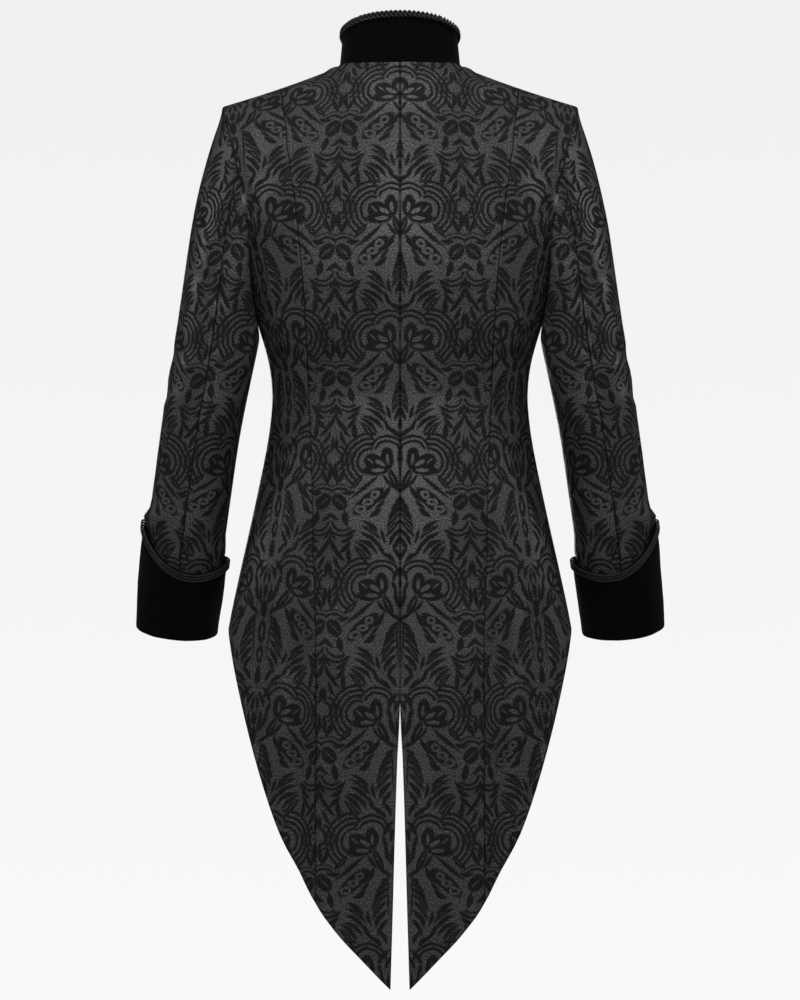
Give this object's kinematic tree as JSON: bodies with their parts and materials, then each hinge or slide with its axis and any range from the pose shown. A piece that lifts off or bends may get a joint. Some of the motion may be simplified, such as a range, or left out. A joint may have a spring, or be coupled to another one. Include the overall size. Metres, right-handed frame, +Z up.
{
  "type": "tailcoat",
  "caption": "Fitted long-sleeved tailcoat with a stand collar, deep turned-back cuffs, braid trim and two pointed tails, filled out as if worn.",
  "frame": {"origin": "centre of the neck opening, level with the two points where the shoulder seams meet the collar", "axes": "+Z up, -Y the coat's front, +X the wearer's left"},
  "size_m": [0.6544, 0.2983, 1.1658],
  "materials": {
    "jacquard": "black floral jacquard, dark matt motifs on a satin ground",
    "velvet": "black velvet",
    "braid": "black gimp braid",
    "button": "covered in black velvet"
  },
  "bodies": {
    "root": {"back_left": "jacquard", "back_right": "jacquard", "side_back_left": "jacquard", "side_back_right": "jacquard", "front_left": "jacquard", "front_right": "jacquard", "upper_sleeve_left": "jacquard", "upper_sleeve_right": "jacquard", "under_sleeve_left": "jacquard", "under_sleeve_right": "jacquard", "cuff_left": "velvet", "cuff_right": "velvet", "collar": "velvet", "cuff_braid_left": "braid", "cuff_braid_right": "braid", "collar_braid": "braid", "button_1": "button", "button_2": "button", "button_3": "button", "button_4": "button", "button_5": "button"}
  },
  "joints": []
}
